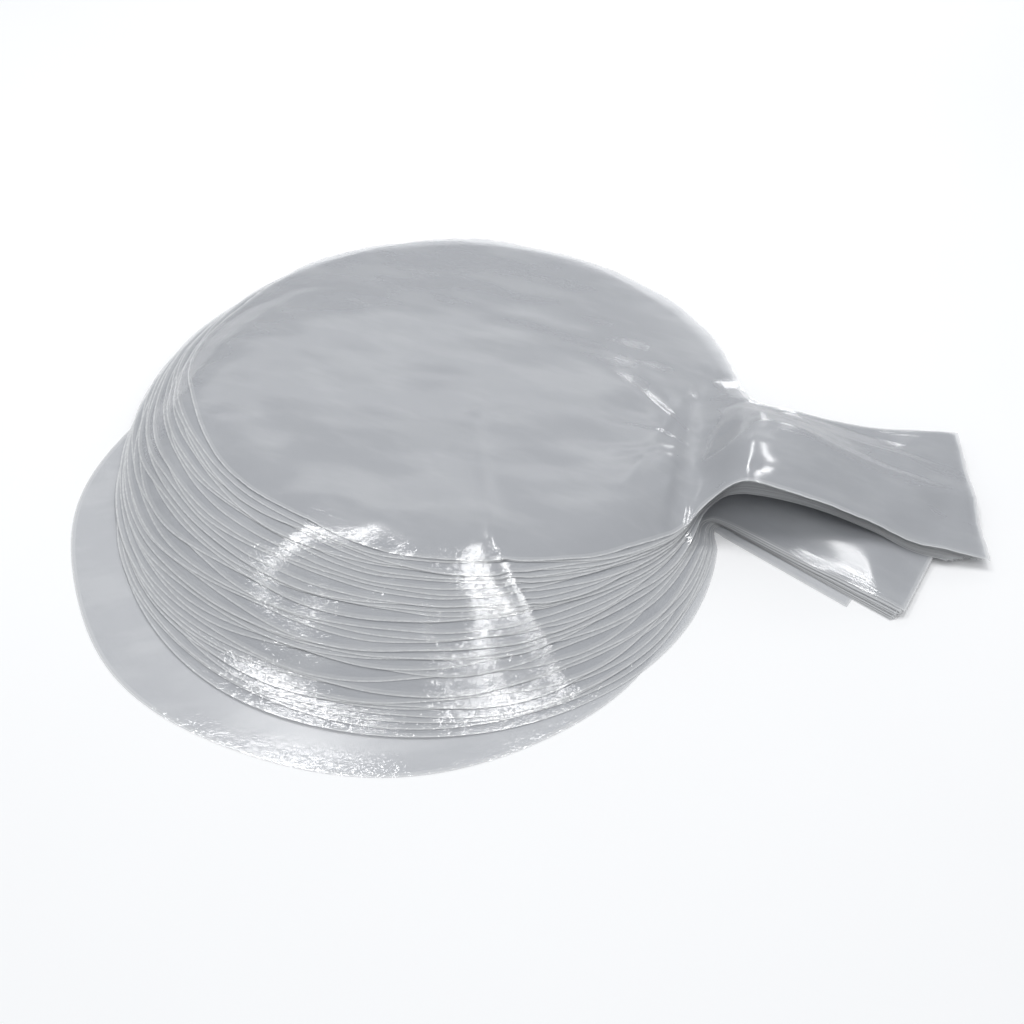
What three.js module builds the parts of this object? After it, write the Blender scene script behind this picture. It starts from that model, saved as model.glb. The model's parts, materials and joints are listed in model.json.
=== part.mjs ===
// A pack of clear bubble balloons, not yet blown up: round flat bags of clear film, each with a
// wide strap-like neck. They lie pressed on one another, fanned out so that every rim shows, with
// their necks gathered at one place. The upper necks arch up over the lower ones.
// Millimetres, +Z up. +X runs towards the necks, +Y away from the fanned front rims.
import * as THREE from "three";

// The pack
const BALLOON_COUNT = 36;
const FILM_THICKNESS = 0.2; // both films of one empty balloon, pressed flat
const FRONT_PITCH = 0.68; // from one balloon to the next at the top one's front rim, with air between
const BACK_PITCH = 0.38; // the same where the drape starts, pressed closer

// One balloon, laid flat
const DISC_RADIUS = 150;
const NECK_LENGTH = 122; // from the disc's rim to the mouth
const NECK_HALF_ROOT = 39;
const NECK_HALF_MOUTH = 48;
const SHOULDER_RADIUS = 18; // between the disc's rim and the side of the neck
const RIM_STEPS = 32;
const SHOULDER_STEPS = 3;

// The fan: where the discs' centres lie, and the place where all the necks are gathered
const FIRST_CENTRE = new THREE.Vector2(-81, -47.3);
const SECOND_OFFSET = new THREE.Vector2(20, 18); // the lowest balloon sticks out by itself
const TOP_OFFSET = new THREE.Vector2(50, 95);
const FAN_BOW = 13; // how far the row of centres bows out to the left
const SIDE_JITTER = 1.6;
const JITTER_WAVE = 3.7; // radians from one balloon to the next, as for the two waves below
const QUICK_WAVE = { size: 0.5, step: 2.1 }; // uneven steps from one rim to the next
const SLOW_WAVE = { size: 0.35, step: 0.73 }; // looser and tighter groups of rims
const PINCH_OFFSET = new THREE.Vector2(175, 35);

// The necks: they bend in plan at the pinch, and the upper ones stand up in an arch
const NECK_TURN_LENGTH = 45;
const NECK_TURN_STEPS = 3;
const NECK_TURN_INSET = 10; // the bend starts no further inside the disc's rim than this
const LOW_NECK_ANGLE = THREE.MathUtils.degToRad(-39);
const TOP_NECK_ANGLE = THREE.MathUtils.degToRad(-8);
const NECK_SPREAD = THREE.MathUtils.degToRad(4); // within the flat necks, and within the arched ones
const ARCH_FROM = 0.42; // share of the balloons whose necks lie flat
const ARCH_HEIGHT = 17;
const ARCH_SPLAY = 0.22; // how much lower the lowest arched neck runs
const ARCH_PEAK = 18; // along the neck, from where the arch starts
const ARCH_LENGTH = 92;
const ARCH_STEPS = 7;
const NECK_LINE_ANGLE = THREE.MathUtils.degToRad(-15);
const NECK_LINE_START = 12; // past the pinch, clear of every disc

// The drape: past the rims under it, a balloon's back sinks towards the floor
const DRAPE_START = 176; // along the fan, from the lowest balloon's centre
const DRAPE_STEP = 14;
const DRAPE_LINES = 6;
const DRAPE_REACH = DRAPE_START - DISC_RADIUS; // a rim holds up what lies on it for this far
const DRAPE_FALL = 8;

const SAME_PLACE = 1e-3; // two points closer than this are one

const clearFilm = new THREE.MeshStandardMaterial({
  color: 0xb9bcc2,
  roughness: 0.12,
  metalness: 0,
  transparent: true,
  opacity: 0.45,
});

const pinch = FIRST_CENTRE.clone().add(PINCH_OFFSET);
const fanDirection = TOP_OFFSET.clone().normalize();
const heading = (angle) => new THREE.Vector2(Math.cos(angle), Math.sin(angle));
const neckDirection = heading(NECK_LINE_ANGLE);

const alongFan = (point) => point.clone().sub(FIRST_CENTRE).dot(fanDirection);
const alongNeck = (point) => point.clone().sub(pinch).dot(neckDirection) - NECK_LINE_START;

// Shares from 0 to 1 for the balloons above the lowest: steps of uneven size, in loose groups
function fanShares(count) {
  const steps = [];
  for (let i = 1; i < count; i++) {
    const quick = QUICK_WAVE.size * Math.sin(QUICK_WAVE.step * i);
    const slow = SLOW_WAVE.size * Math.sin(SLOW_WAVE.step * i + 1);
    steps.push(1 + quick + slow);
  }
  const total = steps.reduce((sum, step) => sum + step, 0);
  const shares = [0];
  for (const step of steps) {
    shares.push(shares[shares.length - 1] + step / total);
  }
  return shares;
}

function fanCentres() {
  const side = new THREE.Vector2(-fanDirection.y, fanDirection.x);
  const centres = [FIRST_CENTRE.clone()];
  fanShares(BALLOON_COUNT - 1).forEach((share, i) => {
    const offset = SECOND_OFFSET.clone().lerp(TOP_OFFSET, share);
    const bow = FAN_BOW * Math.sin(Math.PI * share);
    const jitter = SIDE_JITTER * Math.sin(JITTER_WAVE * i) * Math.sin(Math.PI * share);
    centres.push(FIRST_CENTRE.clone().add(offset).addScaledVector(side, bow + jitter));
  });
  return centres;
}

// The flat outline of one balloon: s runs from the disc's centre along the neck, t across it.
// Only half of it is worked out, from the far side of the disc to the mouth's corner.
function flatHalfOutline() {
  const points = [];
  const reach = DISC_RADIUS + SHOULDER_RADIUS;
  const filletAngle = Math.asin((NECK_HALF_ROOT + SHOULDER_RADIUS) / reach);
  const filletS = reach * Math.cos(filletAngle);
  const filletT = NECK_HALF_ROOT + SHOULDER_RADIUS;
  for (let k = 0; k <= RIM_STEPS / 2; k++) {
    const angle = Math.PI - (Math.PI - filletAngle) * (k / (RIM_STEPS / 2));
    points.push([DISC_RADIUS * Math.cos(angle), DISC_RADIUS * Math.sin(angle)]);
  }
  for (let k = 1; k <= SHOULDER_STEPS; k++) {
    const turned = filletAngle + (Math.PI / 2 - filletAngle) * (k / SHOULDER_STEPS);
    points.push([
      filletS - SHOULDER_RADIUS * Math.cos(turned),
      filletT - SHOULDER_RADIUS * Math.sin(turned),
    ]);
  }
  const mouth = DISC_RADIUS + NECK_LENGTH;
  for (let k = 1; k <= NECK_TURN_STEPS; k++) {
    const s = filletS + NECK_TURN_LENGTH * (k / NECK_TURN_STEPS);
    const t = THREE.MathUtils.mapLinear(s, filletS, mouth, NECK_HALF_ROOT, NECK_HALF_MOUTH);
    points.push([s, t]);
  }
  points.push([mouth, NECK_HALF_MOUTH]);
  return points;
}

// Both halves in order, counter-clockwise, with the far point of the disc taken once
function flatOutline() {
  const half = flatHalfOutline();
  const right = half.map(([s, t]) => [s, -t]);
  const left = half.slice(1).reverse();
  return [...right, ...left];
}

// Lays a flat point in plan: straight from the disc's centre towards the pinch, round a bend
// there, and straight on along the neck's own direction.
function bendInPlan(centre, neckAngle) {
  const toPinch = pinch.clone().sub(centre);
  const startAngle = Math.atan2(toPinch.y, toPinch.x);
  const turnStart = Math.max(DISC_RADIUS - NECK_TURN_INSET, toPinch.length() - NECK_TURN_LENGTH / 2);
  const turn = neckAngle - startAngle;
  return ([s, t]) => {
    const inTurn = THREE.MathUtils.clamp(s - turnStart, 0, NECK_TURN_LENGTH);
    const past = Math.max(0, s - turnStart - NECK_TURN_LENGTH);
    const turned = turn * (inTurn / NECK_TURN_LENGTH);
    const along = heading(startAngle + turned);
    return centre
      .clone()
      .addScaledVector(heading(startAngle), Math.min(s, turnStart))
      .addScaledVector(heading(startAngle + turned / 2), inTurn * sinc(turned / 2))
      .addScaledVector(along, past)
      .addScaledVector(new THREE.Vector2(-along.y, along.x), t);
  };
}

function sinc(x) {
  return x === 0 ? 1 : Math.sin(x) / x;
}

// The pile is a wedge: its balloons lie closer to one another towards the back
const frontPlace = TOP_OFFSET.length() - DISC_RADIUS;
function pitchAt(place) {
  return THREE.MathUtils.mapLinear(place, frontPlace, DRAPE_START, FRONT_PITCH, BACK_PITCH);
}

// How high the pile under balloon number `index` stands, at a place along the fan
function pileHeight(index, place, fanPlaces) {
  let layers = 0;
  for (let below = 0; below < index; below++) {
    const past = place - fanPlaces[below] - DISC_RADIUS - DRAPE_REACH;
    layers += THREE.MathUtils.clamp(1 - past / DRAPE_FALL, 0, 1);
  }
  return pitchAt(place) * layers;
}

// The arch of an upper neck, as a share of its full height: a quick rise and a long fall
function archShare(place) {
  const x = THREE.MathUtils.clamp(place / ARCH_LENGTH, 0, 1);
  const peak = ARCH_PEAK / ARCH_LENGTH;
  const rise = x < peak ? x / peak : (1 - x) / (1 - peak);
  return THREE.MathUtils.smootherstep(rise, 0, 1);
}

const firstArched = Math.round(ARCH_FROM * BALLOON_COUNT);
const archedShare = (index) => (index - firstArched) / (BALLOON_COUNT - 1 - firstArched);

function archHeight(index) {
  if (index < firstArched) {
    return 0;
  }
  return ARCH_HEIGHT * (1 - ARCH_SPLAY + ARCH_SPLAY * archedShare(index));
}

// The necks lie in two bundles: the flat ones, and the arched ones
function neckAngleOf(index) {
  if (index < firstArched) {
    return LOW_NECK_ANGLE + NECK_SPREAD * (index / (firstArched - 1));
  }
  return TOP_NECK_ANGLE - NECK_SPREAD * (1 - archedShare(index));
}

// The lines across a balloon where its surface may bend: the same lines for every balloon, so
// that flat facets between them keep the balloons in their order.
const drapeLines = Array.from({ length: DRAPE_LINES }, (_, k) => DRAPE_START + DRAPE_STEP * k);
const archLines = Array.from({ length: ARCH_STEPS + 1 }, (_, k) => (ARCH_LENGTH / ARCH_STEPS) * k);

// Puts a point on the outline wherever it crosses one of the lines
function splitOutline(outline) {
  const result = [];
  outline.forEach((from, i) => {
    const to = outline[(i + 1) % outline.length];
    result.push(from);
    const crossings = [];
    const cross = (measure, line, counts) => {
      const a = measure(from) - line;
      const b = measure(to) - line;
      if (a * b < 0 && Math.min(Math.abs(a), Math.abs(b)) > SAME_PLACE) {
        const share = a / (a - b);
        const point = from.clone().lerp(to, share);
        if (counts(point)) {
          crossings.push([share, point]);
        }
      }
    };
    drapeLines.forEach((line) => cross(alongFan, line, (point) => alongNeck(point) < 0));
    archLines.forEach((line) => cross(alongNeck, line, () => true));
    crossings.sort((a, b) => a[0] - b[0]);
    crossings.forEach(([, point]) => result.push(point));
  });
  return result;
}

// The flat facets of an outline, each as the numbers of its points
function facets(outline) {
  const onDisc = (point) => alongNeck(point) <= SAME_PLACE;
  const onNeck = (point) => alongNeck(point) >= -SAME_PLACE;
  const bands = [];
  const between = (measure, low, high, counts) =>
    bands.push(
      outline.flatMap((point, i) => {
        const place = measure(point);
        const inside = place > low - SAME_PLACE && place < high + SAME_PLACE;
        return inside && counts(point) ? [i] : [];
      }),
    );
  const fanEdges = [-Infinity, ...drapeLines, Infinity];
  const neckEdges = [...archLines, Infinity];
  for (let k = 0; k + 1 < fanEdges.length; k++) {
    between(alongFan, fanEdges[k], fanEdges[k + 1], onDisc);
  }
  for (let k = 0; k + 1 < neckEdges.length; k++) {
    between(alongNeck, neckEdges[k], neckEdges[k + 1], onNeck);
  }
  return bands.filter((band) => band.length > 2);
}

// The height of a balloon's underside at a point of its outline. It is exact on the lines, and
// straight between them.
function undersideHeight(index, point, fanPlaces) {
  const neckPlace = alongNeck(point);
  const fanPlace = alongFan(point);
  if (neckPlace > 0) {
    const arch = archHeight(index) * straightBetween(archLines, neckPlace, archShare);
    return index * pitchAt(fanPlace) + arch;
  }
  if (fanPlace < DRAPE_START) {
    return index * pitchAt(fanPlace);
  }
  return straightBetween(drapeLines, fanPlace, (place) => pileHeight(index, place, fanPlaces));
}

function straightBetween(lines, place, height) {
  const step = lines[1] - lines[0];
  const band = Math.min(Math.floor((place - lines[0]) / step), lines.length - 1);
  const low = lines[0] + step * band;
  const high = low + step;
  const share = (place - low) / step;
  return height(low) * (1 - share) + height(high) * share;
}

function balloonGeometry(index, centre, fanPlaces) {
  const outline = splitOutline(flatOutline().map(bendInPlan(centre, neckAngleOf(index))));
  const count = outline.length;
  const heights = outline.map((point) => undersideHeight(index, point, fanPlaces));
  const positions = [];
  for (const lift of [0, FILM_THICKNESS]) {
    outline.forEach((point, i) => positions.push(point.x, point.y, heights[i] + lift));
  }
  const triangles = [];
  for (const facet of facets(outline)) {
    const contour = facet.map((i) => outline[i]);
    for (const [a, b, c] of THREE.ShapeUtils.triangulateShape(contour, [])) {
      triangles.push(facet[a], facet[c], facet[b]);
      triangles.push(facet[a] + count, facet[b] + count, facet[c] + count);
    }
  }
  for (let i = 0; i < count; i++) {
    const next = (i + 1) % count;
    triangles.push(i, next, next + count);
    triangles.push(i, next + count, i + count);
  }
  const geometry = new THREE.BufferGeometry();
  geometry.setAttribute("position", new THREE.Float32BufferAttribute(positions, 3));
  geometry.setIndex(triangles);
  geometry.computeVertexNormals();
  return geometry;
}

const pack = new THREE.Group();
const centres = fanCentres();
const fanPlaces = centres.map(alongFan);
centres.forEach((centre, index) => {
  const balloon = new THREE.Mesh(balloonGeometry(index, centre, fanPlaces), clearFilm);
  balloon.name = `balloon_${String(index + 1).padStart(2, "0")}`;
  pack.add(balloon);
});

export default pack;
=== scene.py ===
"""A fanned pack of clear bubble balloons, not yet blown up: the films, their finish and the stage.

Metres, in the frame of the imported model: +X runs towards the necks, +Y away from the fanned
front rims, +Z up. Balloons are numbered from 0, the lowest, to TOP. On a flat balloon, s runs
from the middle of the disc along the neck, and t across it.
"""

import json
import math
from typing import NamedTuple

import bmesh
import bpy
import numpy as np
from bpy.props import FloatProperty, FloatVectorProperty, IntProperty, PointerProperty
from mathutils import Matrix, Vector

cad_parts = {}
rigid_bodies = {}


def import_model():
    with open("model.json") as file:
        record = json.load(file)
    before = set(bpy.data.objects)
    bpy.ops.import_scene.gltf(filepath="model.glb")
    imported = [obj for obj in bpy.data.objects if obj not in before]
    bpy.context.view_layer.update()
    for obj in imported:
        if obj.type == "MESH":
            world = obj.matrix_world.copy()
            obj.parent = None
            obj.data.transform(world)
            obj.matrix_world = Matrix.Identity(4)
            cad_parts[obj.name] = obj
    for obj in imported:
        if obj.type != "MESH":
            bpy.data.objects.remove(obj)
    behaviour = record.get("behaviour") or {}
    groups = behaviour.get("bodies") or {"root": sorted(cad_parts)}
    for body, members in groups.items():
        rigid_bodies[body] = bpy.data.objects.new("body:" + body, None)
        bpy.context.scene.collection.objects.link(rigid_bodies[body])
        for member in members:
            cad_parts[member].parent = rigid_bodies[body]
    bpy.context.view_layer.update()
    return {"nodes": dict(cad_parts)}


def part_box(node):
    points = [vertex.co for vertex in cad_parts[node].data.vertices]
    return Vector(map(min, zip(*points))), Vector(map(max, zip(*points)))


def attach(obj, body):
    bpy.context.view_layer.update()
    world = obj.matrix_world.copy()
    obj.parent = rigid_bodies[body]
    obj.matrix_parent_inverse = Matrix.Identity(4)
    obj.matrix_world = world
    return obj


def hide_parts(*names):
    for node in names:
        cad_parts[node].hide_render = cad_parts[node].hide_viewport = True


bl_info = {
    "name": "Clear Bubble Balloon Pack",
    "version": (1, 0, 0),
    "blender": (4, 5, 0),
    "location": "3D View > Sidebar > Balloons",
    "description": "Models a fanned pack of flat, clear film balloons and its stage",
    "category": "Object",
}

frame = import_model()
BALLOONS = sorted(frame["nodes"])
TOP = len(BALLOONS) - 1
PATTERN = "flat_bag"


# Sizes and colours


def length(name, description, default):
    return FloatProperty(name=name, description=description, default=default, unit="LENGTH", precision=5)


def share(name, description, default):
    return FloatProperty(name=name, description=description, default=default, subtype="FACTOR")


def angle(name, description, degrees):
    return FloatProperty(
        name=name, description=description, default=math.radians(degrees), unit="ROTATION", subtype="ANGLE"
    )


def place(name, description, default):
    return FloatVectorProperty(
        name=name, description=description, default=default, size=len(default), unit="LENGTH", precision=4
    )


def colour(name, description, default):
    return FloatVectorProperty(
        name=name, description=description, default=default, size=3, subtype="COLOR", min=0, max=1
    )


def power(name, description, default):
    return FloatProperty(name=name, description=description, default=default, unit="POWER")


class FlatBag(bpy.types.PropertyGroup):
    """One balloon laid flat: a disc, a wide neck, and the weld round its edge."""

    radius: length("Disc radius", "Radius of the round part", 0.150)
    neck_length: length("Neck length", "From the disc's rim to the mouth", 0.122)
    neck_root: length("Neck half width, root", "Half the neck's width at the disc", 0.039)
    neck_mouth: length("Neck half width, mouth", "Half the neck's width at the mouth", 0.048)
    shoulder: length("Shoulder radius", "Fillet between the disc and the neck", 0.018)
    # The bead band is also where the film's colour carries a painted highlight of the rim catching the
    # light.
    bead_and_glint: length("Bead", "Width of the melted edge outside the weld", 0.0007)
    weld: length("Weld", "Width of the welded band inside the bead", 0.0014)
    film_gap: length("Half gap", "Half the distance between the two films", 0.00006)


class BalloonFan(bpy.types.PropertyGroup):
    """How the discs are fanned, and where their necks are gathered."""

    second: place("Second disc", "Second disc's centre from the lowest one's", (0.020, 0.018))
    top: place("Top disc", "Top disc's centre from the lowest one's", (0.050, 0.095))
    bow: length("Bow", "How far the row of centres bows out", 0.013)
    jitter: length("Jitter", "Sideways unevenness of the centres", 0.0016)
    jitter_wave: angle("Jitter wave", "Turn of the jitter from one balloon to the next", math.degrees(3.7))
    quick_size: share("Quick wave", "Unevenness from one step to the next", 0.5)
    quick_wave: angle("Quick wave step", "Turn of the quick wave for each balloon", math.degrees(2.1))
    slow_size: share("Slow wave", "Unevenness between groups of rims", 0.35)
    slow_wave: angle("Slow wave step", "Turn of the slow wave for each balloon", math.degrees(0.73))
    pinch: place("Pinch", "Where the necks are gathered, from the lowest disc's centre", (0.175, 0.035))
    turn_length: length("Turn length", "Length of the neck's bend in plan", 0.045)
    turn_inset: length("Turn inset", "How far inside the rim the bend may start", 0.010)
    low_neck: angle("Lowest neck", "Direction of the lowest neck in plan", -39)
    top_neck: angle("Top neck", "Direction of the top neck in plan", -8)
    neck_spread: angle("Neck spread", "Spread of the flat necks, and of the arched ones", 4)


class BalloonLie(bpy.types.PropertyGroup):
    """How the films lie on one another: the pile's height, its air and its arch."""

    front_pitch: length("Front pitch", "Height of one balloon at the front of the pile", 0.00088)
    back_pitch: length("Back pitch", "Height of one balloon at the back of the pile", 0.00040)
    rim_pitch: length("Rim pitch", "Height of one balloon at its own rim", 0.00018)
    looser: share("Looser below", "How much thicker than the mean the lowest balloon lies", 0.40)
    puff_width: length("Puff width", "How far inside its rim a balloon is fully puffed", 0.030)
    drape: length("Drape", "How far past a rim the films above it are held up", 0.020)
    pocket: share("Pockets", "Unevenness of the air in each balloon", 0.35)
    arch_from: IntProperty(name="Arched from", description="Number of the lowest arched neck", default=15)
    arch_height: length("Arch height", "Height of the top neck's arch", 0.0175)
    arch_splay: share("Arch splay", "How much lower the lowest arched neck runs", 0.24)
    arch_line: angle("Arch line", "Direction that the arch runs in", -15)
    arch_rise: length("Arch rise", "Where the arch starts, before the pinch", 0.022)
    arch_peak: length("Arch peak", "Where the arch is highest, past the pinch", 0.014)
    arch_end: length("Arch end", "Where the arch comes down, past the pinch", 0.098)
    arch_tilt: share("Arch tilt", "How much higher the arch's front edge is", 0.40)


class FilmFinish(bpy.types.PropertyGroup):
    """Colours and finish of the clear film, its weld and the floor."""

    film: colour("Film", "Colour of the clear film", (0.625, 0.640, 0.672))
    film_pale: colour("Pale film", "Colour of the film where it is scuffed", (0.675, 0.690, 0.718))
    # The bead is pale partly as a cloudy melted edge and partly as a painted highlight where the rim
    # catches the light; its extra opacity makes that painted line show.
    bead_and_glint: colour("Bead", "Colour of the melted edge", (0.880, 0.888, 0.900))
    weld: colour("Weld", "Colour of the welded band", (0.720, 0.732, 0.755))
    alpha: share("Opacity", "Opacity of one film", 0.40)
    bead_and_glint_alpha: share("Bead opacity", "How much more opaque the melted edge is", 0.10)
    crinkle: length("Crinkle", "Depth of the crinkles near the weld", 0.00026)
    crinkle_width: length("Crinkle width", "How far the crinkles reach from the rim", 0.020)
    gloss: FloatProperty(name="Gloss", description="Refractive index of the film", default=1.8, min=1)
    dullness: share("Dullness", "Roughness of clean film", 0.15)
    smudge: share("Smudge", "How much rougher a smudge is", 0.08)
    rim_gloss: share("Rim gloss", "How much less rough the film is at its rim", 0.13)
    floor: colour("Floor", "Colour of the floor", (0.960, 0.960, 0.965))


class BalloonStage(bpy.types.PropertyGroup):
    """Camera and light."""

    camera: place("Camera", "Camera's place", (-0.091, -0.5523, 0.502))
    pitch: angle("Pitch", "How far the camera looks down", 44.1)
    yaw: angle("Yaw", "How far the camera is turned towards the necks", 8.3)
    roll: angle("Roll", "How far the camera is tipped", 4.8)
    lens: FloatProperty(name="Lens", description="Focal length in millimetres", default=50.4, min=1)
    left_lamp: place(
        "Left lamp", "Ends of the lamp that glints on the left", (-0.55, 0.25, 1.25, -0.13, 0.68, 1.18)
    )
    right_lamp: place(
        "Right lamp", "Ends of the lamp that glints on the right", (0.22, -0.06, 1.42, 0.20, 0.58, 1.26)
    )
    lamp_width: length("Lamp width", "Width of the left and right lamps", 0.15)
    lamp_power: power("Lamp power", "Power of the left and right lamps", 4.6)
    crest_lamp: place(
        "Crest lamp", "Ends of the lamp that glints on the arch", (0.411, 1.037, 0.02, 0.411, 1.037, 0.21)
    )
    neck_lamp: place(
        "Neck lamp", "Ends of the lamp that glints past the arch", (0.608, 0.96, 0.08, 0.608, 0.96, 0.27)
    )
    bar_width: length("Bar width", "Width of the two lamps behind the neck", 0.09)
    bar_power: power("Bar power", "Power of the two lamps behind the neck", 0.35)
    card: place("Card", "Ends of the soft card behind", (-0.45, 1.30, 0.75, 0.75, 1.30, 0.75))
    card_width: length("Card width", "Height of the soft card behind", 0.25)
    card_power: power("Card power", "Power of the card", 1.0)
    soft_box: place("Soft box", "Ends of the soft box overhead", (-1.0, -1.0, 2.0, 1.0, -1.0, 2.0))
    soft_width: length("Soft box width", "Width of the soft box", 1.6)
    soft_power: power("Soft power", "Power of the soft box", 10.0)
    sky: colour("Sky", "Colour of the room's light", (0.94, 0.97, 1.0))
    sky_strength: share("Sky strength", "Strength of the room's light", 0.45)


# Folds in the films


class WaveField(NamedTuple):
    """A field of uneven waves: its height, how many waves it has, their lengths and its seed."""

    height: float
    count: int
    lengths: tuple
    seed: int


class Fold(NamedTuple):
    """A straight fold through the pile: its height, its two ends in plan, and its half width."""

    height: float
    start: tuple
    end: tuple
    width: float


class Ripple(NamedTuple):
    """One of the sine waves that make up a row of pleats: its size, its rate and its phase."""

    size: float
    rate: float
    phase: float


POCKET_WAVES, POCKET_LENGTHS = 4, (0.035, 0.110)
BILLOWS = WaveField(0.0011, 5, (0.070, 0.140), seed=101)
STREAKS = WaveField(0.00022, 5, (0.016, 0.034), seed=102)
STREAK_STRETCH = (0.28, 1.0)  # streaks are drawn out along X
CURL = WaveField(0.0013, 6, (0.005, 0.030), seed=103)
CURL_REACH = 0.0024  # how far in from the top rim its curl runs
FOLDS = (
    Fold(0.0012, (-0.034, 0.004), (-0.031, -0.092), 0.0045),
    Fold(0.0022, (-0.028, -0.100), (0.012, -0.170), 0.0040),
    Fold(0.0008, (0.100, 0.066), (0.037, -0.050), 0.0030),
    Fold(0.0008, (0.086, 0.036), (0.052, -0.068), 0.0030),
)
PLEATS = (Ripple(1, 11, 0.6), Ripple(0.7, 19, 2.1), Ripple(0.4, 31, 0))
PLEAT_HEIGHT = 0.00028
PLEAT_MIDDLE, PLEAT_REACH = 0.045, 0.030  # where pleats are deepest, from the pinch, and how far they run
PLEAT_FADE = 0.010  # pleats stop this far past the pinch
STRANDS = (Ripple(1, 1 / 0.0016, 0), Ripple(0.8, 1 / 0.0027, 1.3), Ripple(1, 1 / 0.0048, 0.4))
STRAND_HEIGHT = 0.00014
BANDS = (Ripple(1, 1 / 0.0065, 0.8), Ripple(0.6, 1 / 0.0038, 2.0))
BAND_HEIGHT = 0.0005
BAND_FULL = 0.030  # where strands and bands are full, past the pinch
FLUTES = (Ripple(1, 13, 0.3), Ripple(0.8, 23, 1.1), Ripple(0.5, 37, 0))
FLUTE_HEIGHT = 0.0003
FLUTED = (0.11, 0.19)  # where flutes start and are full, from the middle of the top disc
DEEPEST_CREASE = 0.0030  # keeps every fold above the floor
ARCH_EDGE = 1.2  # the arch's tilt stops here, in half widths of the neck
ARCH_SIDE = 2.2  # and the arch has faded here


# Numbers and places


def smooth(low, high, value):
    x = np.clip((value - low) / (high - low), 0, 1)
    return x * x * (3 - 2 * x)


def heading(turned):
    return np.stack([np.cos(turned), np.sin(turned)], axis=-1)


def left_of(direction):
    return np.stack([-direction[..., 1], direction[..., 0]], axis=-1)


def waves(points, count, wavelengths, seed):
    """A smooth uneven field from -1 to 1: sine waves in directions and phases drawn from `seed`."""
    draw = np.random.default_rng(seed)
    total = np.zeros(len(points))
    for wavelength in np.linspace(*wavelengths, count):
        across = heading(draw.uniform(0, math.tau))
        total += np.sin(math.tau / wavelength * (points @ across) + draw.uniform(0, math.tau))
    return total / count


def ripples(where, parts):
    return sum(part.size * np.sin(part.rate * where + part.phase) for part in parts)


def ridge(points, fold):
    """1 on the fold's line, fading to 0 beside it and past its ends."""
    start = np.array(fold.start)
    line = np.array(fold.end) - start
    reach = np.linalg.norm(line)
    line /= reach
    along = (points - start) @ line
    beside = (points - start) @ left_of(line)
    ends = smooth(-2 * fold.width, fold.width, along) * smooth(-2 * fold.width, fold.width, reach - along)
    return ends / (1 + (beside / fold.width) ** 2) ** 1.5


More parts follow.
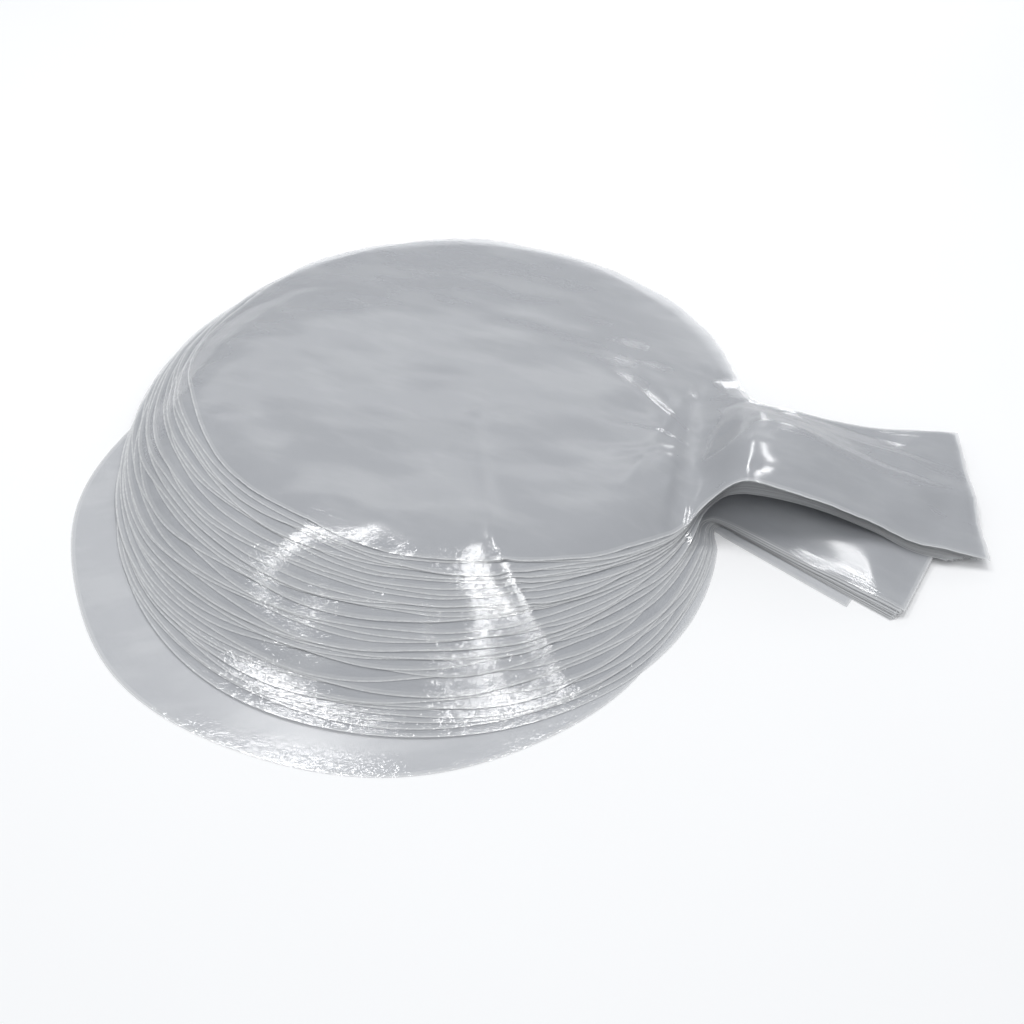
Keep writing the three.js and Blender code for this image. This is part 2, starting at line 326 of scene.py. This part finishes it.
class Pile:
    """Where every balloon of the pack lies, worked out from the sizes in the sidebar."""

    def __init__(self, scene):
        self.bag = scene.flat_bag
        self.fan = scene.balloon_fan
        self.lie = scene.balloon_lie
        low_corner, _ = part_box(BALLOONS[0])
        self.first = np.array(low_corner[:2]) + self.bag.radius
        self.pinch = self.first + np.array(self.fan.pinch)
        self.fan_line = np.array(self.fan.top) / np.linalg.norm(self.fan.top)
        self.arch_line = heading(np.array(self.lie.arch_line))
        self.centres = self.disc_centres()
        to_pinch = self.pinch - self.centres
        self.start_angles = np.arctan2(to_pinch[:, 1], to_pinch[:, 0])
        self.neck_angles = self.bundled_necks()
        straight = np.linalg.norm(to_pinch, axis=1) - self.fan.turn_length / 2
        self.turn_starts = np.maximum(self.bag.radius - self.fan.turn_inset, straight)

    def disc_centres(self):
        """The discs' centres: the lowest by itself, the others in a bowed row with uneven steps."""
        fan = self.fan
        number = np.arange(1, TOP)
        steps = 1 + fan.quick_size * np.sin(fan.quick_wave * number)
        steps += fan.slow_size * np.sin(fan.slow_wave * number + 1)
        shares = np.concatenate([[0], np.cumsum(steps) / steps.sum()])
        second, top = np.array(fan.second), np.array(fan.top)
        middle = np.sin(math.pi * shares)
        aside = middle * (fan.bow + fan.jitter * np.sin(fan.jitter_wave * np.arange(TOP)))
        row = second + np.outer(shares, top - second) + np.outer(aside, left_of(self.fan_line))
        return self.first + np.vstack([[0, 0], row])

    def bundled_necks(self):
        """The necks' directions: the flat ones in one bundle, the arched ones in another."""
        flat, spread = self.lie.arch_from, self.fan.neck_spread
        low = self.fan.low_neck + np.linspace(0, spread, flat)
        high = self.fan.top_neck - np.linspace(spread, 0, TOP + 1 - flat)
        return np.concatenate([low, high])

    def bend(self, number, s, t):
        """Plan place of flat points: straight towards the pinch, round a bend, and along the neck."""
        start = self.start_angles[number]
        turn_length = self.fan.turn_length
        past_start = s - self.turn_starts[number]
        in_turn = np.clip(past_start, 0, turn_length)
        turned = (self.neck_angles[number] - start) * in_turn / turn_length
        along = heading(start + turned)
        chord = in_turn * np.sinc(turned / math.tau)
        return (
            self.centres[number]
            + np.multiply.outer(np.minimum(s, self.turn_starts[number]), heading(start))
            + chord[:, None] * heading(start + turned / 2)
            + np.maximum(0, past_start - turn_length)[:, None] * along
            + t[:, None] * left_of(along)
        )

    def depth(self, number, points):
        """How far inside a balloon's outline each point lies, in plan. Outside it is negative."""
        disc = self.bag.radius - np.linalg.norm(points - self.centres[number], axis=1)
        bend_end = self.turn_starts[number] + self.fan.turn_length
        end_place = self.bend(number, np.array([bend_end]), np.zeros(1))
        along = heading(self.neck_angles[number])
        u = (points - end_place) @ along
        v = np.abs((points - end_place) @ left_of(along))
        neck_left = self.bag.radius + self.bag.neck_length - bend_end
        half = self.bag.neck_mouth + (self.bag.neck_root - self.bag.neck_mouth) * smooth(neck_left, 0, u)
        neck = np.minimum(np.minimum(half - v, u + self.fan.turn_length), neck_left - u)
        return np.maximum(disc, neck)

    def pitch(self, points):
        """Height of one balloon with the air in it: the pile is a wedge, pressed closer at the back."""
        front = np.linalg.norm(self.fan.top) - self.bag.radius
        back = self.bag.radius + self.lie.drape
        behind = np.clip(((points - self.first) @ self.fan_line - front) / (back - front), 0, 1)
        return self.lie.front_pitch + (self.lie.back_pitch - self.lie.front_pitch) * behind

    def layer(self, number, points):
        """How much one balloon lifts the films above it."""
        depth = self.depth(number, points)
        held = self.lie.rim_pitch * smooth(-self.lie.drape, 0, depth)
        pockets = 1 + self.lie.pocket * waves(points, POCKET_WAVES, POCKET_LENGTHS, seed=number)
        loose = 1 + self.lie.looser * (1 - 2 * number / TOP)
        puffed = smooth(0, self.lie.puff_width, depth) * pockets * loose
        return held + (self.pitch(points) - self.lie.rim_pitch) * puffed

    def past_pinch(self, points):
        """Distance past the pinch along the arch, and to the left of it."""
        from_pinch = points - self.pinch
        return from_pinch @ self.arch_line, from_pinch @ left_of(self.arch_line)

    def arch(self, number, points):
        """The upper necks stand up in an arch, highest at its front edge."""
        lie = self.lie
        if number < lie.arch_from:
            return np.zeros(len(points))
        u, v = self.past_pinch(points)
        rise = smooth(-lie.arch_rise, lie.arch_peak, u)
        fall = smooth(lie.arch_end, lie.arch_peak, u)
        edge = np.clip(v / self.bag.neck_root, -ARCH_EDGE, ARCH_EDGE)
        beside = 1 - smooth(self.bag.neck_root, ARCH_SIDE * self.bag.neck_root, np.abs(v))
        upward = (number - lie.arch_from) / (TOP - lie.arch_from)
        height = lie.arch_height * (1 - lie.arch_splay * (1 - upward))
        return height * rise * fall * beside * (1 - lie.arch_tilt * edge)

    def creases(self, points):
        """Folds that run through the whole pile, as heights on its top."""
        height = BILLOWS.height * waves(points, *BILLOWS[1:])
        height += STREAKS.height * waves(points * STREAK_STRETCH, *STREAKS[1:])
        for fold in FOLDS:
            height += fold.height * ridge(points, fold)
        return height + self.pleats(points) + self.neck_bands(points) + self.flutes(points)

    def pleats(self, points):
        """Pleats that run out from the pinch into the discs."""
        from_pinch = points - self.pinch
        around = np.arctan2(from_pinch[:, 1], from_pinch[:, 0])
        away = np.linalg.norm(from_pinch, axis=1)
        reach = np.exp(-((away - PLEAT_MIDDLE) / PLEAT_REACH) ** 2)
        before = smooth(PLEAT_FADE, -PLEAT_FADE, self.past_pinch(points)[0])
        return PLEAT_HEIGHT * ripples(around, PLEATS) * reach * before

    def neck_bands(self, points):
        """Fine strands and wider bands that run along the necks."""
        u, v = self.past_pinch(points)
        height = STRAND_HEIGHT * ripples(v, STRANDS) + BAND_HEIGHT * ripples(v, BANDS)
        return height * smooth(0, BAND_FULL, u)

    def flutes(self, points):
        """Flutes that run outwards through the fanned rims."""
        from_top = points - self.centres[TOP]
        around = np.arctan2(from_top[:, 1], from_top[:, 0])
        outward = smooth(*FLUTED, np.linalg.norm(from_top, axis=1))
        return FLUTE_HEIGHT * ripples(around, FLUTES) * outward

    def rim_curl(self, number, points, rim):
        """The top balloon's free rim curls up unevenly."""
        if number < TOP:
            return np.zeros(len(points))
        uneven = 0.5 + 0.5 * waves(points, *CURL[1:])
        return CURL.height * uneven**2 * np.exp(-rim / CURL_REACH)

    def height(self, number, points, rim):
        """Height of a balloon's middle, between its two films."""
        total = np.full(len(points), self.bag.film_gap)
        for below in range(number):
            total += self.layer(below, points)
        total += self.arch(number, points)
        total += self.rim_curl(number, points, rim)
        return total + (self.creases(points) + DEEPEST_CREASE) * number / TOP


SHOULDER_FROM = 0.9  # the shoulders lie past this share of the disc's radius


def rim_distance(bag, s, t):
    """How far inside its outline each point of a flat balloon lies."""
    t = np.abs(t)
    fillet_s, fillet_t, _ = fillet(bag)
    mouth = bag.radius + bag.neck_length
    disc = bag.radius - np.hypot(s, t)
    half = bag.neck_root + (bag.neck_mouth - bag.neck_root) * (s - fillet_s) / (mouth - fillet_s)
    neck = np.where(s > fillet_s, np.minimum(half - t, mouth - s), -1)
    shoulder = np.where(
        (s > SHOULDER_FROM * bag.radius) & (s <= fillet_s) & (t < fillet_t),
        np.hypot(s - fillet_s, t - fillet_t) - bag.shoulder,
        -1,
    )
    return np.maximum(0, np.maximum(disc, np.maximum(neck, shoulder)))


def fillet(bag):
    """Centre of the shoulder's fillet, and the angle at the disc's centre where it starts."""
    reach = bag.radius + bag.shoulder
    across = bag.neck_root + bag.shoulder
    start = math.asin(across / reach)
    return reach * math.cos(start), across, start


# Modelling one flat balloon


RIM_POINTS = 200
SHOULDER_ROWS = 6
NECK_ROWS = 26
FLAT_AFTER = 10  # rows of the neck over which the disc's round edge is straightened
ANGLE_SLACK = 1e-4
RING_SHARES = (0.972, 0.936, 0.890, 0.825, 0.750)  # rings inside the weld, as shares of the radius
GRID_WITHIN = 0.9  # the grid's edge lies inside this share of the radius
GRID_SPAN = RIM_POINTS // 4
EVEN_FACTOR, EVEN_ROUNDS = 0.5, 30
LIFT = 0.001  # how far each film is held from the middle until it is laid
NEARNESS = LIFT / 100


def deselect_all():
    bpy.ops.object.select_all(action="DESELECT")


def start_editing(piece):
    deselect_all()
    piece.select_set(True)
    bpy.context.view_layer.objects.active = piece
    bpy.ops.object.mode_set(mode="EDIT")


def stop_editing():
    bpy.ops.object.mode_set(mode="OBJECT")


def select(piece, kind, wanted):
    """Selects the edges or faces for which `wanted` is true."""
    bpy.ops.mesh.select_mode(type=kind)
    bpy.ops.mesh.select_all(action="DESELECT")
    shape = bmesh.from_edit_mesh(piece.data)
    for element in shape.edges if kind == "EDGE" else shape.faces:
        if wanted(element):
            element.select_set(True)
    bmesh.update_edit_mesh(piece.data)


def neck_rows(bag):
    """The neck's cross rows, as distance along it and half width: the shoulders, then the sides."""
    fillet_s, fillet_t, start = fillet(bag)
    rows = []
    for k in range(SHOULDER_ROWS + 1):
        turned = start + (math.pi / 2 - start) * k / SHOULDER_ROWS
        s = fillet_s - bag.shoulder * math.cos(turned)
        rows.append((s, fillet_t - bag.shoulder * math.sin(turned)))
    mouth = bag.radius + bag.neck_length
    for k in range(1, NECK_ROWS + 1):
        part = k / NECK_ROWS
        s = fillet_s + (mouth - fillet_s) * part
        rows.append((s, bag.neck_root + (bag.neck_mouth - bag.neck_root) * part))
    return rows


def extrude_neck(piece, bag):
    """Draws the neck out of the disc's rim, row by row."""
    start = fillet(bag)[2] + ANGLE_SLACK
    select(
        piece,
        "EDGE",
        lambda edge: all(abs(math.atan2(v.co.y, v.co.x)) < start for v in edge.verts),
    )
    rows = neck_rows(bag)
    for k in range(1, len(rows)):
        (s_before, half_before), (s, half) = rows[k - 1], rows[k]
        bpy.ops.mesh.extrude_region_move(TRANSFORM_OT_translate={"value": (s - s_before, 0, 0)})
        straighten = (FLAT_AFTER - k) / (FLAT_AFTER - k + 1) if k <= FLAT_AFTER else 1
        bpy.ops.transform.resize(value=(straighten, half / half_before, 1), center_override=(s, 0, 0))


def inset_weld(bag):
    """A narrow welded band along the whole edge."""
    bpy.ops.mesh.select_mode(type="FACE")
    bpy.ops.mesh.select_all(action="SELECT")
    bpy.ops.mesh.inset(thickness=bag.bead_and_glint + bag.weld, use_even_offset=False)


def fill_disc(piece, bag):
    """Rings inside the disc's rim, and an even grid in its middle."""
    select(piece, "FACE", lambda face: len(face.verts) > 4)
    outside = 1 - (bag.bead_and_glint + bag.weld) / bag.radius
    for inside in RING_SHARES:
        bpy.ops.mesh.extrude_region_move(TRANSFORM_OT_translate={"value": (0, 0, 0)})
        shrink = inside / outside
        bpy.ops.transform.resize(value=(shrink, shrink, 1), center_override=(0, 0, 0))
        outside = inside
    bpy.ops.mesh.delete(type="ONLY_FACE")
    within = GRID_WITHIN * bag.radius
    select(
        piece,
        "EDGE",
        lambda edge: edge.is_boundary and all(v.co.length < within for v in edge.verts),
    )
    bpy.ops.mesh.fill_grid(span=GRID_SPAN)


def even_out():
    """Spreads the points inside the weld evenly."""
    bpy.ops.mesh.select_mode(type="VERT")
    bpy.ops.mesh.select_all(action="DESELECT")
    bpy.ops.mesh.select_non_manifold()
    bpy.ops.mesh.select_more()
    bpy.ops.mesh.select_all(action="INVERT")
    bpy.ops.mesh.vertices_smooth(factor=EVEN_FACTOR, repeat=EVEN_ROUNDS)


def double_film(piece):
    """A second film under the first, joined to it along a sharp edge."""
    bpy.ops.mesh.select_mode(type="VERT")
    bpy.ops.mesh.select_all(action="SELECT")
    bpy.ops.transform.translate(value=(0, 0, LIFT))
    bpy.ops.mesh.duplicate_move(TRANSFORM_OT_translate={"value": (0, 0, -2 * LIFT)})
    bpy.ops.mesh.select_all(action="DESELECT")
    bpy.ops.mesh.select_non_manifold()
    bpy.ops.transform.resize(value=(1, 1, 0), center_override=(0, 0, 0))
    bpy.ops.mesh.remove_doubles(threshold=NEARNESS)
    bpy.ops.mesh.select_all(action="SELECT")
    bpy.ops.mesh.normals_make_consistent(inside=False)
    select(piece, "EDGE", lambda edge: all(abs(v.co.z) < NEARNESS for v in edge.verts))
    bpy.ops.mesh.mark_sharp()


def model_flat_bag(bag):
    """One balloon laid flat, with its two films a little apart."""
    deselect_all()
    bpy.ops.mesh.primitive_circle_add(vertices=RIM_POINTS, radius=bag.radius, fill_type="NGON")
    piece = bpy.context.object
    piece.name = piece.data.name = PATTERN
    start_editing(piece)
    extrude_neck(piece, bag)
    inset_weld(bag)
    fill_disc(piece, bag)
    even_out()
    double_film(piece)
    stop_editing()
    piece.data.shade_smooth()
    return piece


# Laying the balloons


RIM_UNEVEN = 0.0009
RIM_SEED = 1000  # the lowest balloon's, and one more for each above it
RIM_LOBES = range(2, 10)
UNEVEN_RADII = (0.55, 1.0)  # where the unevenness starts and is full, as shares of the radius
UNEVEN_ANGLES = (0.35, 0.8)  # and as angles from the neck
OWN_NOISE = 3.7  # how far apart two balloons' noise is read
DRAWN = 0.35  # smudges are drawn out lengthwise
CRINKLE_SHORT = 1.6  # crinkles are shorter across the rim than along it


def lay(piece, number, pile):
    """Moves a flat balloon's points to where it lies in the pack, and keeps its flat places."""
    mesh = piece.data
    flat = np.empty(len(mesh.vertices) * 3)
    mesh.vertices.foreach_get("co", flat)
    flat = flat.reshape(-1, 3)
    s, t = flat[:, 0], flat[:, 1]
    side = flat[:, 2] / np.abs(flat[:, 2]).max()
    rim = rim_distance(pile.bag, s, t)
    stretch = uneven_rim(pile.bag, number, s, t)
    points = pile.bend(number, s * stretch, t * stretch)
    heights = pile.height(number, points, rim) + side * pile.bag.film_gap
    placed = np.column_stack([points, heights])
    mesh.vertices.foreach_set("co", placed.ravel())
    own = OWN_NOISE * number
    around = pile.bag.radius * np.abs(np.arctan2(t, s))
    keep(mesh, "rim", "FLOAT", "value", rim)
    keep_place(mesh, "drawn_place", DRAWN * s + own, t)
    keep_place(mesh, "round_place", around + own, CRINKLE_SHORT * rim)
    mesh.update()


def uneven_rim(bag, number, s, t):
    """A slight stretch of the disc's outer part, different for each balloon."""
    draw = np.random.default_rng(RIM_SEED + number)
    around = np.arctan2(t, s)
    total = np.zeros(len(s))
    for count in RIM_LOBES:
        total += draw.uniform(-1, 1) * np.sin(count * around + draw.uniform(0, math.tau))
    away_from_neck = smooth(*UNEVEN_ANGLES, np.abs(around))
    outer = smooth(*UNEVEN_RADII, np.hypot(s, t) / bag.radius)
    return 1 + RIM_UNEVEN / bag.radius * total * away_from_neck * outer


def keep(mesh, name, kind, field, values):
    """Keeps values of the mesh's points for its material."""
    attribute = mesh.attributes.new(name, kind, "POINT")
    attribute.data.foreach_set(field, np.ascontiguousarray(values, dtype=np.float32).ravel())


def keep_place(mesh, name, along, across):
    keep(mesh, name, "FLOAT_VECTOR", "vector", np.column_stack([along, across, np.zeros(len(along))]))


def film_name(number):
    return "film_" + BALLOONS[number]


def add_balloon(context, number, pile, finer=False):
    """One balloon of the pack, copied from the flat one."""
    mesh = bpy.data.meshes[PATTERN].copy()
    piece = bpy.data.objects.new(film_name(number), mesh)
    mesh.name = piece.name
    context.collection.objects.link(piece)
    if finer:
        start_editing(piece)
        bpy.ops.mesh.select_all(action="SELECT")
        bpy.ops.mesh.subdivide(number_cuts=1)
        stop_editing()
    lay(piece, number, pile)
    mesh.materials.append(clear_film(context.scene))
    declare(piece, number)


def declare(piece, number):
    """Puts the piece on the pack's body and hides the imported balloon that it replaces."""
    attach(piece, "root")
    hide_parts(BALLOONS[number])


# Finishes


class Value:
    """A value in a material's nodes, so that shader maths reads as an expression."""

    def __init__(self, finish, socket):
        self.finish = finish
        self.socket = socket

    def math(self, operation, first, second):
        return self.finish.node("ShaderNodeMath", {"operation": operation}, {0: first, 1: second})

    def __add__(self, other):
        return self.math("ADD", self, other)

    __radd__ = __add__

    def __sub__(self, other):
        return self.math("SUBTRACT", self, other)

    def __rsub__(self, other):
        return self.math("SUBTRACT", other, self)

    def __mul__(self, other):
        return self.math("MULTIPLY", self, other)

    __rmul__ = __mul__


MIX_FACTOR, MIX_FIRST, MIX_SECOND, MIX_RESULT = 0, 6, 7, 2  # sockets of a Mix node for colours


class Finish:
    """A material and its nodes."""

    def __init__(self, name):
        self.material = bpy.data.materials.new(name)
        self.material.use_nodes = True
        self.nodes = self.material.node_tree.nodes
        self.links = self.material.node_tree.links
        self.nodes.clear()

    def node(self, kind, settings, inputs, output=0):
        """Adds a node: its settings first, then the values or links of its inputs."""
        node = self.nodes.new(kind)
        for name, setting in settings.items():
            setattr(node, name, setting)
        for name, value in inputs.items():
            if isinstance(value, Value):
                self.links.new(value.socket, node.inputs[name])
            else:
                node.inputs[name].default_value = value
        return Value(self, node.outputs[output]) if node.outputs else None

    def attribute(self, name, output):
        return self.node("ShaderNodeAttribute", {"attribute_name": name}, {}, output)

    def noise(self, spot, grain):
        inputs = {
            "Vector": spot,
            "Scale": grain.scale,
            "Detail": grain.detail,
            "Roughness": grain.roughness,
        }
        return self.node("ShaderNodeTexNoise", {"noise_dimensions": "2D"}, inputs)

    def ramp(self, value, low, high):
        """0 up to low, 1 from high on, and smooth between."""
        inputs = {"Value": value, "From Min": low, "From Max": high}
        return self.node("ShaderNodeMapRange", {"interpolation_type": "SMOOTHSTEP"}, inputs)

    def within(self, value, limit, blur):
        """1 below the limit and 0 past it, blurred by a share of it."""
        return 1 - self.ramp(value, (1 - blur) * limit, (1 + blur) * limit)

    def mix(self, amount, first, second):
        inputs = {MIX_FACTOR: amount, MIX_FIRST: first, MIX_SECOND: second}
        return self.node("ShaderNodeMix", {"data_type": "RGBA"}, inputs, MIX_RESULT)

    def surface(self, inputs):
        shader = self.node("ShaderNodeBsdfPrincipled", {}, inputs)
        self.node("ShaderNodeOutputMaterial", {}, {"Surface": shader})
        return self.material


class Grain(NamedTuple):
    """How fine a noise is, how many finer noises are on it, and how strong they are."""

    scale: float
    detail: float
    roughness: float


FILM = "balloon_film"
SMUDGES = Grain(55, 3, 0.55)
SCUFFED = (0.42, 0.70)  # the smudge at which scuffs begin and are full
CRINKLES = Grain(190, 2, 0.6)
# The bead's pale colour is partly a painted highlight of the rim, and this crinkle breaks it up into
# glints.
BROKEN = (0.40, 0.62)  # the crinkle at which the bead begins to cloud and is clouded
BEAD_AND_GLINT_BLUR, WELD_BLUR = 0.4, 0.1
MOTTLE = Grain(6, 4, 0.5)
MOTTLE_PALER = 1.02
FLOOR_ROUGHNESS, MOTTLE_ROUGHNESS = 0.75, 0.1


def rgba(rgb):
    return (*rgb, 1.0)


def clear_film(scene):
    """Clear film with a pale melted edge, which also carries a painted highlight of the rim, smudged all
    over and crinkled near its weld.
    """
    if FILM in bpy.data.materials:
        return bpy.data.materials[FILM]
    look = scene.film_finish
    bag = scene.flat_bag
    finish = Finish(FILM)
    rim = finish.attribute("rim", "Fac")
    smudge = finish.noise(finish.attribute("drawn_place", "Vector"), SMUDGES)
    crinkle = finish.noise(finish.attribute("round_place", "Vector"), CRINKLES)
    # Mask of the bead band, which is painted pale: partly a cloudy melted edge, partly a painted highlight
    # of the rim.
    in_bead_and_glint = finish.within(rim, bag.bead_and_glint, BEAD_AND_GLINT_BLUR)
    in_weld = finish.within(rim, bag.bead_and_glint + bag.weld, WELD_BLUR)
    near_rim = 1 - finish.ramp(rim, 0.0, look.crinkle_width)
    tone = finish.mix(finish.ramp(smudge, *SCUFFED), rgba(look.film), rgba(look.film_pale))
    tone = finish.mix(in_weld, tone, rgba(look.weld))
    # Painted highlight along the rim, laid over the melted edge's own paler colour.
    tone = finish.mix(in_bead_and_glint, tone, rgba(look.bead_and_glint))
    height = crinkle * near_rim * look.crinkle
    normal = finish.node("ShaderNodeBump", {}, {"Strength": 1.0, "Distance": 1.0, "Height": height})
    return finish.surface(
        {
            "Base Color": tone,
            "Roughness": look.dullness + smudge * look.smudge - near_rim * look.rim_gloss,
            # The bead's extra opacity shows its painted highlight, broken up by the crinkles.
            "Alpha": look.alpha + in_bead_and_glint * finish.ramp(crinkle, *BROKEN) * look.bead_and_glint_alpha,
            "IOR": look.gloss,
            "Normal": normal,
        }
    )


def pale_floor(scene):
    """Matt pale floor, faintly mottled."""
    look = scene.film_finish
    finish = Finish("pale_floor")
    mottle = finish.noise(finish.node("ShaderNodeTexCoord", {}, {}, "Object"), MOTTLE)
    paler = [min(1.0, part * MOTTLE_PALER) for part in look.floor]
    tone = finish.mix(mottle, rgba(look.floor), rgba(paler))
    return finish.surface({"Base Color": tone, "Roughness": FLOOR_ROUGHNESS + mottle * MOTTLE_ROUGHNESS})


# The stage


FLOOR = "floor"
FLOOR_RADIUS, FLOOR_POINTS = 3.0, 96
FLOOR_INSET = 1.0
FLOOR_DROP = 0.0002  # just below the lowest film
AIM = Vector((0.0, -0.03, 0.02))  # what the lamps are turned towards
FILMS_SEEN_THROUGH = 8
BOUNCES = 3


def add_floor(context):
    deselect_all()
    bpy.ops.mesh.primitive_circle_add(
        vertices=FLOOR_POINTS, radius=FLOOR_RADIUS, fill_type="NGON", location=(0, 0, -FLOOR_DROP)
    )
    floor = context.object
    floor.name = floor.data.name = FLOOR
    bpy.ops.object.transform_apply(location=True, rotation=False, scale=False)
    start_editing(floor)
    bpy.ops.mesh.inset(thickness=FLOOR_INSET)
    stop_editing()
    floor.data.materials.append(pale_floor(context.scene))


def add_strip(context, name, ends, width, watts):
    """A strip lamp between two points, turned towards the pack."""
    start, end = Vector(ends[:3]), Vector(ends[3:])
    middle = (start + end) / 2
    back = (middle - AIM).normalized()
    along = (end - start).normalized()
    across = back.cross(along).normalized()
    along = across.cross(back)
    data = bpy.data.lights.new(name, "AREA")
    data.shape = "RECTANGLE"
    data.size = (end - start).length
    data.size_y = width
    data.energy = watts
    lamp = bpy.data.objects.new(name, data)
    lamp.matrix_world = Matrix.Translation(middle) @ Matrix((along, across, back)).transposed().to_4x4()
    context.collection.objects.link(lamp)


def add_light(context, stage):
    add_strip(context, "left_lamp", stage.left_lamp, stage.lamp_width, stage.lamp_power)
    add_strip(context, "right_lamp", stage.right_lamp, stage.lamp_width, stage.lamp_power)
    add_strip(context, "crest_lamp", stage.crest_lamp, stage.bar_width, stage.bar_power)
    add_strip(context, "neck_lamp", stage.neck_lamp, stage.bar_width, stage.bar_power)
    add_strip(context, "back_card", stage.card, stage.card_width, stage.card_power)
    add_strip(context, "soft_box", stage.soft_box, stage.soft_width, stage.soft_power)
    world = bpy.data.worlds.new("room")
    world.use_nodes = True
    background = world.node_tree.nodes["Background"]
    background.inputs["Color"].default_value = rgba(stage.sky)
    background.inputs["Strength"].default_value = stage.sky_strength
    context.scene.world = world


def add_camera(context, stage):
    """The camera looks down on the front of the fan, tipped a little to one side."""
    ahead = Vector(
        (
            math.sin(stage.yaw) * math.cos(stage.pitch),
            math.cos(stage.yaw) * math.cos(stage.pitch),
            -math.sin(stage.pitch),
        )
    )
    right = Vector((math.cos(stage.yaw), -math.sin(stage.yaw), 0))
    turn = Matrix((right, right.cross(ahead), -ahead)).transposed()
    data = bpy.data.cameras.new("camera")
    data.lens = stage.lens
    camera = bpy.data.objects.new("camera", data)
    camera.matrix_world = (
        Matrix.Translation(stage.camera) @ (turn @ Matrix.Rotation(stage.roll, 3, "Z")).to_4x4()
    )
    context.collection.objects.link(camera)
    context.scene.camera = camera


# Operators


class BALLOON_OT_flat_bag(bpy.types.Operator):
    """Models one balloon laid flat, which the others are copied from"""

    bl_idname = "balloon.flat_bag"
    bl_label = "Flat Balloon"

    def execute(self, context):
        piece = model_flat_bag(context.scene.flat_bag)
        piece.data.use_fake_user = True
        bpy.data.objects.remove(piece)
        return {"FINISHED"}


class BALLOON_OT_flat_necks(bpy.types.Operator):
    """Lays the lower balloons, whose necks lie flat"""

    bl_idname = "balloon.flat_necks"
    bl_label = "Lower Balloons"

    def execute(self, context):
        pile = Pile(context.scene)
        for number in range(pile.lie.arch_from):
            add_balloon(context, number, pile)
        return {"FINISHED"}


class BALLOON_OT_arched_necks(bpy.types.Operator):
    """Lays the upper balloons, whose necks stand up in an arch"""

    bl_idname = "balloon.arched_necks"
    bl_label = "Upper Balloons"

    def execute(self, context):
        pile = Pile(context.scene)
        for number in range(pile.lie.arch_from, TOP):
            add_balloon(context, number, pile)
        return {"FINISHED"}


class BALLOON_OT_top(bpy.types.Operator):
    """Lays the top balloon, which shows whole, from finer film"""

    bl_idname = "balloon.top"
    bl_label = "Top Balloon"

    def execute(self, context):
        add_balloon(context, TOP, Pile(context.scene), finer=True)
        return {"FINISHED"}


class BALLOON_OT_stage(bpy.types.Operator):
    """Adds the floor, the light and the camera"""

    bl_idname = "balloon.stage"
    bl_label = "Stage"

    def execute(self, context):
        stage = context.scene.balloon_stage
        add_floor(context)
        add_light(context, stage)
        add_camera(context, stage)
        context.scene.view_settings.view_transform = "Standard"
        context.scene.cycles.transparent_max_bounces = FILMS_SEEN_THROUGH
        context.scene.cycles.max_bounces = BOUNCES
        return {"FINISHED"}


class BALLOON_PT_pack(bpy.types.Panel):
    """Lists the balloons' sizes and the steps that make the pack"""

    bl_label = "Balloon Pack"
    bl_space_type = "VIEW_3D"
    bl_region_type = "UI"
    bl_category = "Balloons"

    def draw(self, context):
        for group in SETTINGS:
            box = self.layout.box()
            box.label(text=group.replace("_", " ").capitalize())
            settings = getattr(context.scene, group)
            for name in SETTINGS[group].__annotations__:
                box.prop(settings, name)
        for operator in OPERATORS:
            self.layout.operator(operator.bl_idname)


SETTINGS = {
    "flat_bag": FlatBag,
    "balloon_fan": BalloonFan,
    "balloon_lie": BalloonLie,
    "film_finish": FilmFinish,
    "balloon_stage": BalloonStage,
}
OPERATORS = (
    BALLOON_OT_flat_bag,
    BALLOON_OT_flat_necks,
    BALLOON_OT_arched_necks,
    BALLOON_OT_top,
    BALLOON_OT_stage,
)
CLASSES = (*SETTINGS.values(), *OPERATORS, BALLOON_PT_pack)


def register():
    for each in CLASSES:
        bpy.utils.register_class(each)
    for name, group in SETTINGS.items():
        setattr(bpy.types.Scene, name, PointerProperty(type=group))


def unregister():
    for name in SETTINGS:
        delattr(bpy.types.Scene, name)
    for each in reversed(CLASSES):
        bpy.utils.unregister_class(each)


def main():
    register()
    bpy.ops.balloon.stage()
    bpy.ops.balloon.flat_bag()
    bpy.ops.balloon.flat_necks()
    bpy.ops.balloon.arched_necks()
    bpy.ops.balloon.top()


if __name__ == "__main__":
    main()
